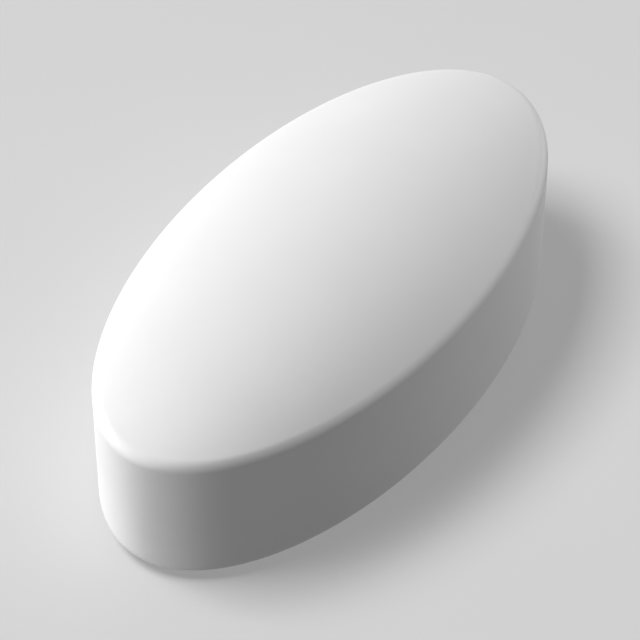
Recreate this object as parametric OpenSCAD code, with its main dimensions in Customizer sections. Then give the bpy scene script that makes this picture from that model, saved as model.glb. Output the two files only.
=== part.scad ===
// Magnetic stir bar, elliptical pattern: a white PTFE jacket moulded in one piece round a rod magnet.
// Millimetres. X runs along the bar, Y across it and Z up.
// The origin is the middle of the flat underside that the bar stands on.

/* [Jacket] */
// Length along X
jacket_length = 40; // [34:0.5:60]
// Width along Y
jacket_width = 20.5; // [16:0.1:40]
// Height of the upright wall, from the underside to the sharp corner that it would make with the crown
wall_height = 12.1; // [10:0.1:20]
// Rise of the domed crown above that corner
crown_rise = 2.5; // [1:0.1:4]
// Radius that rounds the crown into the wall
crown_edge_radius = 0.9; // [0.2:0.1:2]
// Radius that rounds the wall into the underside
base_edge_radius = 1.7; // [0.2:0.1:3]

/* [Magnet] */
// Diameter of the rod magnet
magnet_diameter = 8; // [4:0.1:9.6]
// Length of the rod magnet
magnet_length = 30; // [16:0.5:36]
// Chamfer on both ends of the rod magnet
magnet_chamfer = 0.5; // [0.1:0.1:1]
// Thickness of the jacket under the magnet
floor_thickness = 2; // [1:0.1:4]
// Gap between the magnet and the jacket, which is none where the jacket is moulded on
moulding_gap = 0; // [0:0.05:0.3]

/* [Hidden] */
$fn = 180;

// How far each rounded edge stands proud of the faces beside it, so that their curves cross at a clear point
lap = 0.002;
quarter_turn = 90;

half_length = jacket_length / 2;
width_share = jacket_width / jacket_length;
magnet_height = floor_thickness + moulding_gap + magnet_diameter / 2;

// The crown is an arc through its own top and through the sharp corner above the wall.
crown_radius = (half_length * half_length + crown_rise * crown_rise) / (2 * crown_rise);
crown_centre = [0, wall_height + crown_rise - crown_radius];

// The crown's rounded edge reaches the full length, and a lap above the crown at the point where they meet.
crown_edge_reach = crown_radius + lap - crown_edge_radius;
crown_edge_x = half_length - crown_edge_radius;
crown_edge_rise = sqrt(crown_edge_reach * crown_edge_reach - crown_edge_x * crown_edge_x);
crown_edge_centre = [crown_edge_x, crown_centre[1] + crown_edge_rise];
crown_end = crown_centre + (crown_edge_centre - crown_centre) * crown_radius / crown_edge_reach;

// The rounded edge of the base reaches the full length, and a lap below the underside that trims it flat.
base_edge_centre = [half_length - base_edge_radius, base_edge_radius - lap];

// Half of the section along the bar, with the length as its width, before the underside is trimmed
module half_section() {
    polygon([
        [0, -lap], [base_edge_centre[0], -lap], base_edge_centre, [half_length - lap, base_edge_centre[1]],
        [half_length - lap, crown_edge_centre[1]], crown_edge_centre, [0, crown_edge_centre[1]]
    ]);
    intersection() {
        translate(crown_centre) circle(crown_radius);
        translate([0, base_edge_centre[1]]) square([crown_end[0], wall_height + crown_rise]);
    }
    translate(crown_edge_centre) circle(crown_edge_radius);
    translate(base_edge_centre) circle(base_edge_radius);
}

// The section turned about Z and narrowed across Y, a quarter turn at a time, which keeps every face simple
module elliptical_body() {
    intersection() {
        union()
            for (turn = [0:3])
                scale([1, width_share, 1])
                    rotate(turn * quarter_turn)
                        rotate_extrude(angle = quarter_turn)
                            half_section();
        translate([-jacket_length, -jacket_width, 0])
            cube([2 * jacket_length, 2 * jacket_width, 2 * (wall_height + crown_rise)]);
    }
}

// A rod along X with both ends chamfered, grown on every side by an allowance
module chamfered_rod(allowance) {
    radius = magnet_diameter / 2 + allowance;
    half = magnet_length / 2 + allowance;
    tip = radius - magnet_chamfer;
    translate([0, 0, magnet_height])
        rotate([0, 90, 0])
            rotate_extrude()
                polygon([
                    [0, -half], [tip, -half], [radius, magnet_chamfer - half],
                    [radius, half - magnet_chamfer], [tip, half], [0, half]
                ]);
}

module ptfe_jacket() {
    color("white")
        difference() {
            elliptical_body();
            chamfered_rod(moulding_gap);
        }
}

module bar_magnet() {
    color("dimgray")
        chamfered_rod(0);
}

ptfe_jacket();
bar_magnet();
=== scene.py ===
# %% [markdown]
# # A magnetic stir bar
#
# A stir bar is a rod magnet sealed inside a smooth white jacket of PTFE, the slippery plastic of
# laboratory ware. It lies in a beaker, and a magnet that turns under the beaker spins it. This one has
# an elliptical outline, an upright wall, a low domed crown and a flat underside.
#
# This lesson builds its visible surface in Blender. The CAD model is loaded first as a fixed frame: it
# says where each part is and how big it is, in metres, with X along the bar and Z up. Every size that
# the frame can give is read from it, and the others are named where they are first used.

# %% Load the CAD frame
import math

import bpy
import numpy as np
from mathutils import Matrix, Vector


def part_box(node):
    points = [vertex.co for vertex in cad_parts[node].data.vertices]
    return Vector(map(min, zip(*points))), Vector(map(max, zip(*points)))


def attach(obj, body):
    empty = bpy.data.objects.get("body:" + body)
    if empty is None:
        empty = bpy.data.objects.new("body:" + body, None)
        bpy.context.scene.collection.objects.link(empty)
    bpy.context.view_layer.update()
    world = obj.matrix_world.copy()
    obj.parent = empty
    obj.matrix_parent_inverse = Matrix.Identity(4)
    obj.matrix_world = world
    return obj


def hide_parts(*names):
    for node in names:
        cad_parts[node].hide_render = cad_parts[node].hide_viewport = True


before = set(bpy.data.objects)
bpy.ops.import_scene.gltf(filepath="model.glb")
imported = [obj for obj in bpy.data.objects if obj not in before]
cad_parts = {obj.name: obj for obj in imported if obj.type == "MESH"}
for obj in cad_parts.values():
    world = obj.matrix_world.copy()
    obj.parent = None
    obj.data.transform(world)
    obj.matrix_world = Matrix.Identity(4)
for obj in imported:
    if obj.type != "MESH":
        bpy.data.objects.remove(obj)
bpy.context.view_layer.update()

BODY = "root"
MM = 0.001

# %% [markdown]
# ## The camera comes first
#
# Choosing the viewpoint before modelling tells you which edges will show. A small part is best seen
# from far off through a long lens, because that keeps its sides nearly parallel. So the camera stands
# about thirteen half-lengths away, a little over half way up between level and overhead, and looks
# slantwise across the bar from its left end. The direction is written as two angles, azimuth and
# elevation, which are easier to adjust than three coordinates.

# %% Place the camera
jacket_lo, jacket_hi = (Vector(corner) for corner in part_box("ptfe_jacket"))
HALF_LENGTH, HALF_WIDTH, _ = (jacket_hi - jacket_lo) / 2
HEIGHT = jacket_hi.z - jacket_lo.z
MIDDLE = (jacket_lo + jacket_hi) / 2

VIEW_AZIMUTH = math.radians(-51.4)
VIEW_ELEVATION = math.radians(51.6)
VIEW_DISTANCE = 12.9 * HALF_LENGTH
LENS_MM = 220
SENSOR_WIDTH_MM = 36
NEAREST_SEEN = HALF_LENGTH
FARTHEST_SEEN = 100 * HALF_LENGTH
AIM_SHIFT = Vector((-0.55 * MM, 0, -0.93 * MM))
AIM = MIDDLE + AIM_SHIFT


def direction(azimuth, elevation):
    """Unit vector to a point seen at these angles: azimuth turns from -Y towards +X, elevation rises."""
    level = math.cos(elevation)
    return Vector((math.sin(azimuth) * level, -math.cos(azimuth) * level, math.sin(elevation)))


def look_along(obj, place, target):
    """Puts obj at place with its -Z axis towards target and its Y axis as upright as it can be."""
    obj.location = place
    obj.rotation_mode = "QUATERNION"
    obj.rotation_quaternion = (target - place).to_track_quat("-Z", "Y")


camera = bpy.data.objects.new("camera", bpy.data.cameras.new("camera"))
bpy.context.collection.objects.link(camera)
camera.data.sensor_width = SENSOR_WIDTH_MM
camera.data.lens = LENS_MM
camera.data.clip_start = NEAREST_SEEN
camera.data.clip_end = FARTHEST_SEEN
look_along(camera, AIM + VIEW_DISTANCE * direction(VIEW_AZIMUTH, VIEW_ELEVATION), AIM)
bpy.context.scene.camera = camera
print("camera at", [round(v / MM) for v in camera.location], "mm")

# %% [markdown]
# ## The jacket's outline
#
# The real jacket is pressed from PTFE powder round the magnet and sintered, so it is one seamless
# piece, and every edge is rounded. It could be made from a scaled cylinder with a Bevel modifier, but
# scaling a round shape squeezes its bevels too: the edge would be sharper at the sides than at the
# ends. Here the surface is worked out from its outline instead. Each point starts on the ellipse and
# moves inwards square to it, which keeps the rounding even all the way round.

# %% The ellipse and its outward direction
TURNS = 320
turn = np.linspace(0, 2 * np.pi, TURNS, endpoint=False)


def ellipse(angle):
    """Points (a cos t, b sin t) of the outline, and the unit vectors (b cos t, a sin t) square to it."""
    rim = np.stack([HALF_LENGTH * np.cos(angle), HALF_WIDTH * np.sin(angle)], axis=-1)
    outward = np.stack([HALF_WIDTH * np.cos(angle), HALF_LENGTH * np.sin(angle)], axis=-1)
    outward /= np.linalg.norm(outward, axis=-1, keepdims=True)
    return rim, outward


RIM, OUTWARD = ellipse(turn)
print(TURNS, "points round an outline of half axes", [round(v / MM, 2) for v in (HALF_LENGTH, HALF_WIDTH)])

# %% [markdown]
# ## The crown
#
# The crown is a very low dome. A dome that is a slice of a sphere would meet the elliptical wall at
# a wavy line, high at the sides and low at the ends. The moulded one meets it at one level, so its
# height depends on how far out a point is as a share of the way to the rim, and not on the distance.

# %% The height and slope of the crown
CROWN_RISE = 2.5 * MM
WALL_TOP = HEIGHT - CROWN_RISE
CROWN_FULLNESS = 0.5


def crown(x, y):
    """Height of the dome and its slopes along X and Y.

    With p = (x/a)^2 + (y/b)^2, the square of the share of the way out, the height is a slice of an
    ellipsoid, sqrt(1 - k p), shifted and stretched to be 0 at the rim and CROWN_RISE in the middle.
    The fullness k is near 0 for a parabola and 1 for a dome that ends upright.
    """
    share = (x / HALF_LENGTH) ** 2 + (y / HALF_WIDTH) ** 2
    root = np.sqrt(1 - CROWN_FULLNESS * share)
    root_at_rim = math.sqrt(1 - CROWN_FULLNESS)
    stretch = CROWN_RISE / (1 - root_at_rim)
    height = WALL_TOP + stretch * (root - root_at_rim)
    per_share = -stretch * CROWN_FULLNESS / (2 * root)
    return height, per_share * 2 * x / HALF_LENGTH**2, per_share * 2 * y / HALF_WIDTH**2


print("crown from", round(WALL_TOP / MM, 2), "to", round(crown(0.0, 0.0)[0] / MM, 2), "mm")

# %% [markdown]
# ## The jacket's outer surface
#
# The section is followed from the middle of the underside, outwards and up, to the top of the crown.
# Each stretch below is a function of two parameters, the turn round the outline and the share of the
# stretch, so it comes out as a grid of points. On the underside, the wall and the dome, the rings are
# set closer together near both ends, because smooth shading is blended between rings and the blend is
# best kept narrow where the curvature changes.

# %% Grids of points for each stretch of the section
CROWN_EDGE_RADIUS = 0.9 * MM
BASE_EDGE_RADIUS = 1.7 * MM


def eased(count):
    """Shares from 0 to 1, closer together near both ends: (1 - cos(pi i / n)) / 2."""
    return (1 - np.cos(np.linspace(0, np.pi, count))) / 2


def inset_ring(inset, height):
    """Points moved square to the outline by inset and up by height. Both may vary along the grid."""
    plan = RIM[None] - inset[..., None] * OUTWARD[None]
    return np.concatenate([plan, np.broadcast_to(height, inset.shape)[..., None]], axis=-1)


def flat_base(rings):
    """The underside: the inset outline shrunk towards the middle, at height 0."""
    edge = inset_ring(np.full((1, TURNS), BASE_EDGE_RADIUS), np.zeros((1, TURNS)))
    return eased(rings)[:, None, None] * edge


def base_edge(rings):
    """A quarter circle from straight down to level: inset r (1 - cos f) and height r (1 + sin f)."""
    angle = np.linspace(-np.pi / 2, 0, rings)[:, None] * np.ones(TURNS)
    return inset_ring(BASE_EDGE_RADIUS * (1 - np.cos(angle)), BASE_EDGE_RADIUS * (1 + np.sin(angle)))


def crown_edge_fit(rounds=12):
    """Height of the edge circle's centre, and the slope angle of the dome where the circle touches it.

    The circle is tangent to the wall when its centre is one radius inside it. It touches the dome at
    an inset of r (1 - sin s), where s is the dome's slope at that very point, so the slope is looked
    up again and again until it settles. The centre then lies r cos s below the point of touch.
    """
    slope = np.zeros(TURNS)
    for _ in range(rounds):
        inset = CROWN_EDGE_RADIUS * (1 - np.sin(slope))
        x, y = (RIM - inset[:, None] * OUTWARD).T
        height, slope_x, slope_y = crown(x, y)
        slope = np.arctan(-(slope_x * OUTWARD[:, 0] + slope_y * OUTWARD[:, 1]))
    return height - CROWN_EDGE_RADIUS * np.cos(slope), slope


EDGE_CENTRE, EDGE_SLOPE = crown_edge_fit()


def wall(rings):
    """The upright wall, from the base edge to the height of the crown edge's centre."""
    share = eased(rings)[:, None]
    height = BASE_EDGE_RADIUS + share * (EDGE_CENTRE - BASE_EDGE_RADIUS)
    return inset_ring(np.zeros((rings, TURNS)), height)


def crown_edge(rings):
    """An arc from level to the dome's own slope: inset r (1 - cos f) and height c + r sin f."""
    angle = np.linspace(0, 1, rings)[:, None] * (np.pi / 2 - EDGE_SLOPE)
    inset = CROWN_EDGE_RADIUS * (1 - np.cos(angle))
    return inset_ring(inset, EDGE_CENTRE + CROWN_EDGE_RADIUS * np.sin(angle))


def crown_dome(rings):
    """The dome: the ring where the edge ends, shrunk towards the middle and lifted onto the dome."""
    inset = CROWN_EDGE_RADIUS * (1 - np.cos(np.pi / 2 - EDGE_SLOPE))[None]
    plan = inset_ring(inset, np.zeros((1, TURNS)))[..., :2] * (1 - eased(rings))[:, None, None]
    height = crown(plan[..., 0], plan[..., 1])[0]
    return np.concatenate([plan, height[..., None]], axis=-1)


STRETCHES = [
    flat_base(rings=9),
    base_edge(rings=17),
    wall(rings=25),
    crown_edge(rings=17),
    crown_dome(rings=41),
]
print("rings:", [len(stretch) for stretch in STRETCHES])

# %% [markdown]
# ## From grids to a closed mesh
#
# The stretches share their end rings, so all but the first drop their first ring. The first and last
# rings have shrunk to a single point: each is replaced by one vertex, a pole, joined to its neighbour
# by a fan of triangles, because a ring of vertices in one place would leave slivers with no area.


# %% Join the grids into one mesh
def shell(rings, closed=True, inward=False):
    """Points and faces from rings of points, (rings, turns, 3). The first ring is a pole, and so is the
    last one if the shell is closed. With the rings set out anticlockwise and rising from the pole, the
    faces point outwards, or towards the axis if inward is true.
    """
    turns = rings.shape[1]
    between_poles = rings[1:-1] if closed else rings[1:]
    points = np.concatenate([rings[0, :1], between_poles.reshape(-1, 3)])
    step = np.arange(turns)
    row = 1 + np.arange(len(between_poles))[:, None] * turns
    here, ahead = row + step, row + (step + 1) % turns
    quads = np.stack([here[:-1], ahead[:-1], ahead[1:], here[1:]], axis=-1).reshape(-1, 4)
    faces = [quads, np.stack([np.zeros(turns, int), ahead[0], here[0]], axis=-1)]
    if closed:
        faces.append(np.stack([here[-1], ahead[-1], np.full(turns, len(points))], axis=-1))
        points = np.concatenate([points, rings[-1, :1]])
    if inward:
        faces = [block[:, ::-1] for block in faces]
    return points, faces


def as_object(name, shells):
    """One smooth object from several shells, each given as its points and its blocks of faces."""
    points, corners, sizes, offset = [], [], [], 0
    for shell_points, faces in shells:
        corners += [(block + offset).ravel() for block in faces]
        sizes += [np.full(len(block), block.shape[1]) for block in faces]
        points.append(shell_points)
        offset += len(shell_points)
    corners, sizes, points = (np.concatenate(part) for part in (corners, sizes, points))
    mesh = bpy.data.meshes.new(name)
    mesh.vertices.add(len(points))
    mesh.vertices.foreach_set("co", points.astype(np.float32).ravel())
    mesh.loops.add(len(corners))
    mesh.loops.foreach_set("vertex_index", corners.astype(np.int32))
    mesh.polygons.add(len(sizes))
    mesh.polygons.foreach_set("loop_start", (np.cumsum(sizes) - sizes).astype(np.int32))
    mesh.polygons.foreach_set("use_smooth", np.ones(len(sizes), bool))
    mesh.update(calc_edges=True)
    mesh.validate()
    made = bpy.data.objects.new(name, mesh)
    bpy.context.collection.objects.link(made)
    print(name, len(points), "points", len(sizes), "faces")
    return made


outer_rings = np.concatenate([STRETCHES[0]] + [stretch[1:] for stretch in STRETCHES[1:]])
outer_shell = shell(outer_rings)
print("outer shell of", len(outer_rings), "rings")

# %% [markdown]
# ## The cavity that holds the magnet
#
# The jacket is solid apart from the space that its magnet fills. A second shell inside the first,
# with its faces turned towards the hollow, makes the mesh a true solid with a cavity. Its size comes
# from the magnet's box: a rod along X with a small chamfer at each end, which the frame's box can't
# tell and is named here.

# %% The rod-shaped inner shell
magnet_lo, magnet_hi = (np.array(corner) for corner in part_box("bar_magnet"))
MAGNET_CENTRE = (magnet_lo + magnet_hi) / 2
MAGNET_HALF_LENGTH, _, MAGNET_RADIUS = (magnet_hi - magnet_lo) / 2
MAGNET_CHAMFER = 0.5 * MM
ROD_TURNS = 64


def rod_rings():
    """A rod about X: each ring is (x, r cos t, r sin t), for the radius r and place x of its profile."""
    end = MAGNET_HALF_LENGTH
    shoulder = end - MAGNET_CHAMFER
    tip = MAGNET_RADIUS - MAGNET_CHAMFER
    place = np.array([-end, -end, -shoulder, shoulder, end, end])
    radius = np.array([0, tip, MAGNET_RADIUS, MAGNET_RADIUS, tip, 0])
    angle = np.linspace(0, 2 * np.pi, ROD_TURNS, endpoint=False)
    x = np.broadcast_to(place[:, None], (len(place), ROD_TURNS))
    rod = np.stack([x, radius[:, None] * np.cos(angle), radius[:, None] * np.sin(angle)], axis=-1)
    return rod + MAGNET_CENTRE


jacket = as_object("ptfe_jacket_surface", [outer_shell, shell(rod_rings(), inward=True)])
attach(jacket, BODY)
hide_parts("ptfe_jacket")

# %% [markdown]
# ## Patterns without images
#
# An image texture would need unwrapping and would show a seam. Instead, every pattern here is noise in
# the object's own coordinates, which are in metres, so it stays the same size on the object from every
# side. The helpers below build the nodes that make the noise and turn it into a tone, a roughness or
# a relief.

# %% Helpers for node materials
USUAL_LOW = 0.3
USUAL_HIGH = 0.7


def new_material(name):
    """A material with a Principled shader and an output. Returns the material and the shader."""
    material = bpy.data.materials.new(name)
    material.use_nodes = True
    return material, material.node_tree.nodes["Principled BSDF"]


def noise(material, feature_size, detail=2.0, roughness=0.5, stretch=(1, 1, 1)):
    """Noise in object coordinates, with blotches about feature_size across. Returns its value socket."""
    nodes, links = material.node_tree.nodes, material.node_tree.links
    place = nodes.new("ShaderNodeTexCoord")
    mapping = nodes.new("ShaderNodeMapping")
    mapping.inputs["Scale"].default_value = stretch
    texture = nodes.new("ShaderNodeTexNoise")
    texture.inputs["Scale"].default_value = 1 / feature_size
    texture.inputs["Detail"].default_value = detail
    texture.inputs["Roughness"].default_value = roughness
    links.new(place.outputs["Object"], mapping.inputs["Vector"])
    links.new(mapping.outputs["Vector"], texture.inputs["Vector"])
    return texture.outputs["Fac"]


def between(material, value, low, high):
    """Carries the range that noise usually keeps to, USUAL_LOW to USUAL_HIGH, to low to high."""
    node = material.node_tree.nodes.new("ShaderNodeMapRange")
    node.inputs["From Min"].default_value = USUAL_LOW
    node.inputs["From Max"].default_value = USUAL_HIGH
    node.inputs["To Min"].default_value = low
    node.inputs["To Max"].default_value = high
    material.node_tree.links.new(value, node.inputs["Value"])
    return node.outputs["Result"]


def blend_colours(material, value, first, second):
    """A colour that goes from first to second as the value socket goes from 0 to 1."""
    node = material.node_tree.nodes.new("ShaderNodeMix")
    node.data_type = "RGBA"
    colours = [socket for socket in node.inputs if socket.type == "RGBA"]
    colours[0].default_value = (*first, 1)
    colours[1].default_value = (*second, 1)
    material.node_tree.links.new(value, node.inputs["Factor"])
    return next(socket for socket in node.outputs if socket.type == "RGBA")


def bump(material, value, depth):
    """A normal that raises the surface by depth where the value socket is 1."""
    node = material.node_tree.nodes.new("ShaderNodeBump")
    node.inputs["Distance"].default_value = depth
    material.node_tree.links.new(value, node.inputs["Height"])
    return node.outputs["Normal"]


# %% [markdown]
# ## The look of PTFE
#
# Moulded PTFE is a dense, waxy white. Light enters it a little way and comes out again, so its edges
# look soft, and it mirrors less than most plastics because it bends light very little. Under a strong
# lamp its surface still isn't perfectly even: the pressed powder leaves faint clouds of tone and
# a very fine grain, which also varies the roughness. Both are kept very weak.


# %% Moulded white PTFE
def ptfe_material():
    """White, faintly clouded and finely grained, with a little light under the surface."""
    material, shader = new_material("moulded_ptfe")
    links = material.node_tree.links
    clouds = between(material, noise(material, feature_size=5 * MM, detail=3), low=0, high=1)
    tone = blend_colours(material, clouds, (0.89, 0.89, 0.89), (0.91, 0.91, 0.91))
    links.new(tone, shader.inputs["Base Color"])
    grain = noise(material, feature_size=0.12 * MM, detail=4, roughness=0.6)
    links.new(between(material, grain, low=0.46, high=0.58), shader.inputs["Roughness"])
    links.new(bump(material, grain, depth=0.002 * MM), shader.inputs["Normal"])
    shader.inputs["IOR"].default_value = 1.35
    shader.inputs["Subsurface Weight"].default_value = 0.25
    shader.inputs["Subsurface Radius"].default_value = (1.0, 1.0, 1.0)
    shader.inputs["Subsurface Scale"].default_value = 0.3 * MM
    return material


jacket.data.materials.append(ptfe_material())

# %% [markdown]
# ## The magnet
#
# Inside the jacket lies a rod of cast magnet alloy, dark grey and ground to size. Its CAD shape is
# already right, so it keeps its own mesh and only gets a better material. Grinding a rod leaves fine
# rings round it, so the noise is squeezed along the rod and drawn out round it.


# %% Ground magnet alloy
def magnet_material():
    """Dark grey metal with fine grinding rings round the rod and a faint mottle from casting."""
    material, shader = new_material("ground_magnet_alloy")
    links = material.node_tree.links
    mottle = between(material, noise(material, feature_size=2 * MM, detail=3), low=0, high=1)
    tone = blend_colours(material, mottle, (0.30, 0.29, 0.28), (0.40, 0.39, 0.38))
    links.new(tone, shader.inputs["Base Color"])
    rings = noise(material, feature_size=2 * MM, detail=3, stretch=(60, 1, 1))
    links.new(between(material, rings, low=0.32, high=0.5), shader.inputs["Roughness"])
    links.new(bump(material, rings, depth=0.003 * MM), shader.inputs["Normal"])
    shader.inputs["Metallic"].default_value = 1.0
    return material


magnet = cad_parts["bar_magnet"]
magnet.data.materials.clear()
magnet.data.materials.append(magnet_material())

# %% [markdown]
# ## The stage
#
# A white object shows its shape only through shading, so the light matters more than the backdrop.
# The floor is a plain pale disc that sweeps up into a wall all round, which hides the horizon from
# any side. It is also a surface worked out from a profile: flat, then a quarter circle, then upright.
# A pale floor throws light back up onto the near wall and washes out its grey. Its ray visibility is
# switched off for diffuse rays, so it is seen and takes shadows, but it throws no diffuse light back.
# The paper also glows faintly, which keeps the shadow and the far wall pale.

# %% A pale floor that sweeps up
FLOOR_RADIUS = 1.0
SWEEP_RADIUS = 0.4
WALL_HEIGHT = 0.6
STAGE_DROP = 0.02 * MM


def sweep_rings(turns=96, bend_rings=17):
    """A flat disc, a quarter circle that rises from it and an upright wall, turned about Z."""
    bend = np.linspace(0, np.pi / 2, bend_rings)
    radius = np.concatenate([[0, FLOOR_RADIUS / 2], FLOOR_RADIUS + SWEEP_RADIUS * np.sin(bend)])
    height = np.concatenate([[0, 0], SWEEP_RADIUS * (1 - np.cos(bend))])
    radius = np.append(radius, radius[-1])
    height = np.append(height, height[-1] + WALL_HEIGHT)
    angle = np.linspace(0, 2 * np.pi, turns, endpoint=False)
    x = radius[:, None] * np.cos(angle)
    y = radius[:, None] * np.sin(angle)
    z = np.broadcast_to(height[:, None], x.shape) - STAGE_DROP
    return np.stack([x, y, z], axis=-1)


floor = as_object("floor", [shell(sweep_rings(), closed=False, inward=True)])
floor.visible_diffuse = False


def floor_material():
    """Plain pale grey paper with an almost invisible mottle and a faint glow of its own."""
    material, shader = new_material("pale_floor")
    mottle = between(material, noise(material, feature_size=40 * MM), low=0, high=1)
    tone = blend_colours(material, mottle, (0.49, 0.49, 0.49), (0.51, 0.51, 0.51))
    material.node_tree.links.new(tone, shader.inputs["Base Color"])
    shader.inputs["Roughness"].default_value = 0.9
    shader.inputs["Specular IOR Level"].default_value = 0.1
    shader.inputs["Emission Color"].default_value = (1, 1, 1, 1)
    shader.inputs["Emission Strength"].default_value = 0.22
    return material


floor.data.materials.append(floor_material())

# %% [markdown]
# ## The light
#
# Four softboxes light the bar, all of them well away from the camera. The strongest stands behind it,
# a little over a quarter of the way up, and one stands low on the left and brightens the left end. A
# weaker low one on the right keeps the far end from going dark, and one high up behind lets the crown
# turn into the wall through a soft edge. The near wall is lit mostly by an even surround. Area lamps
# are used because their size softens the shading.
#
# Such low lamps would burn bright patches into the floor in front of them. Light linking keeps them
# off it, as flags do in a studio: each lamp has a collection of the objects that it may light. The
# floor gets its own lamp, high up, and the bar throws a soft shadow in that one's light.

# %% Softboxes and an even surround
def softbox(name, azimuth, elevation, distance, size, power):
    """A square area lamp at a distance from the bar, seen at these angles from it, that faces it."""
    lamp = bpy.data.objects.new(name, bpy.data.lights.new(name, "AREA"))
    lamp.data.shape = "SQUARE"
    lamp.data.size = size
    lamp.data.energy = power
    bpy.context.collection.objects.link(lamp)
    place = MIDDLE + distance * direction(math.radians(azimuth), math.radians(elevation))
    look_along(lamp, place, MIDDLE)
    return lamp


def light_only(lamps, collection_name, lit):
    """Lets the lamps light only the objects in lit. Everything still casts shadows in their light."""
    collection = bpy.data.collections.new(collection_name)
    for obj in lit:
        collection.objects.link(obj)
    for lamp in lamps:
        lamp.light_linking.receiver_collection = collection


bar_lamps = [
    softbox("back_lamp", azimuth=-164.5, elevation=25.7, distance=0.7, size=0.18, power=2.91),
    softbox("low_lamp", azimuth=-130.8, elevation=8, distance=0.7, size=0.18, power=2.48),
    softbox("side_lamp", azimuth=74.8, elevation=8, distance=0.7, size=0.18, power=1.25),
    softbox("top_lamp", azimuth=169.4, elevation=74.2, distance=0.7, size=0.18, power=1.44),
]
floor_lamp = softbox("floor_lamp", azimuth=-150, elevation=65, distance=1.2, size=0.5, power=11)
light_only(bar_lamps, "lit_by_the_bar_lamps", [jacket, magnet])
light_only([floor_lamp], "lit_by_the_floor_lamp", [floor])

world = bpy.data.worlds.new("surround")
world.use_nodes = True
surround = world.node_tree.nodes["Background"]
surround.inputs["Color"].default_value = (1, 1, 1, 1)
surround.inputs["Strength"].default_value = 0.18
bpy.context.scene.world = world
bpy.context.scene.view_settings.view_transform = "Standard"
